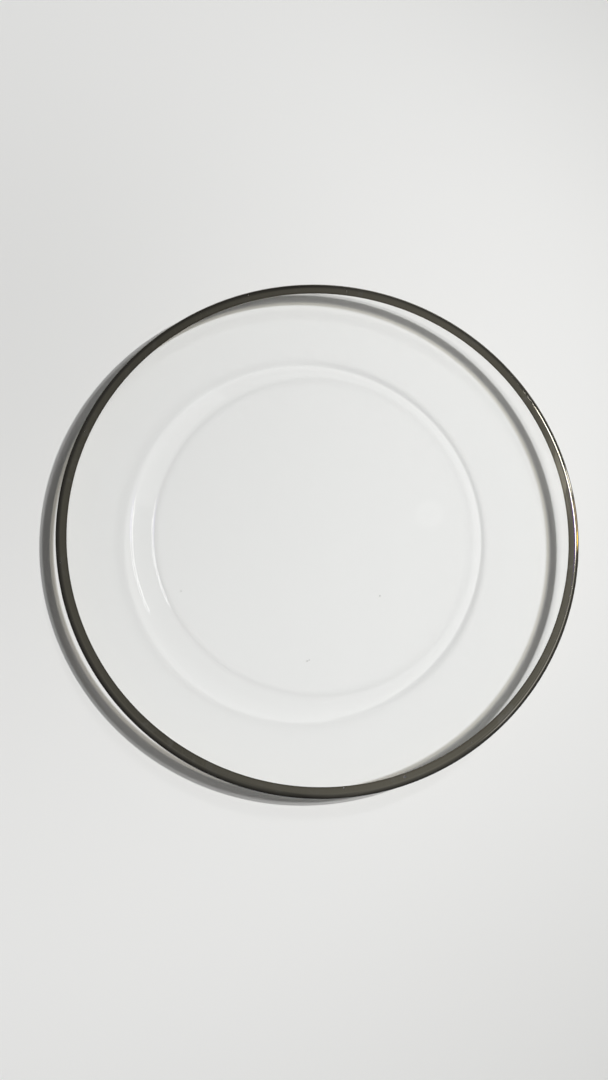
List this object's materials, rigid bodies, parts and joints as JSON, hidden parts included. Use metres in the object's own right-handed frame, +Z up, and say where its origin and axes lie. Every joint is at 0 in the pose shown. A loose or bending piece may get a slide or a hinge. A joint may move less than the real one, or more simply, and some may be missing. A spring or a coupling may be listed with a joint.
{
  "type": "charger plate",
  "caption": "Round clear glass charger plate with a flat well, a short shoulder, a wide rising flange and a bright metal band along the rim.",
  "frame": {"origin": "centre of the flat underside, on the surface that the plate rests on", "axes": "+Z up along the plate's axis, X and Y across it; the plate is a body of revolution"},
  "size_m": [0.33, 0.33, 0.017],
  "materials": {
    "clear_glass": "fire-polished, clear",
    "fired_metal": "bright platinum-coloured film with fine wear"
  },
  "bodies": {
    "root": {"glass_plate": "clear_glass", "rim_band": "fired_metal"}
  },
  "joints": []
}
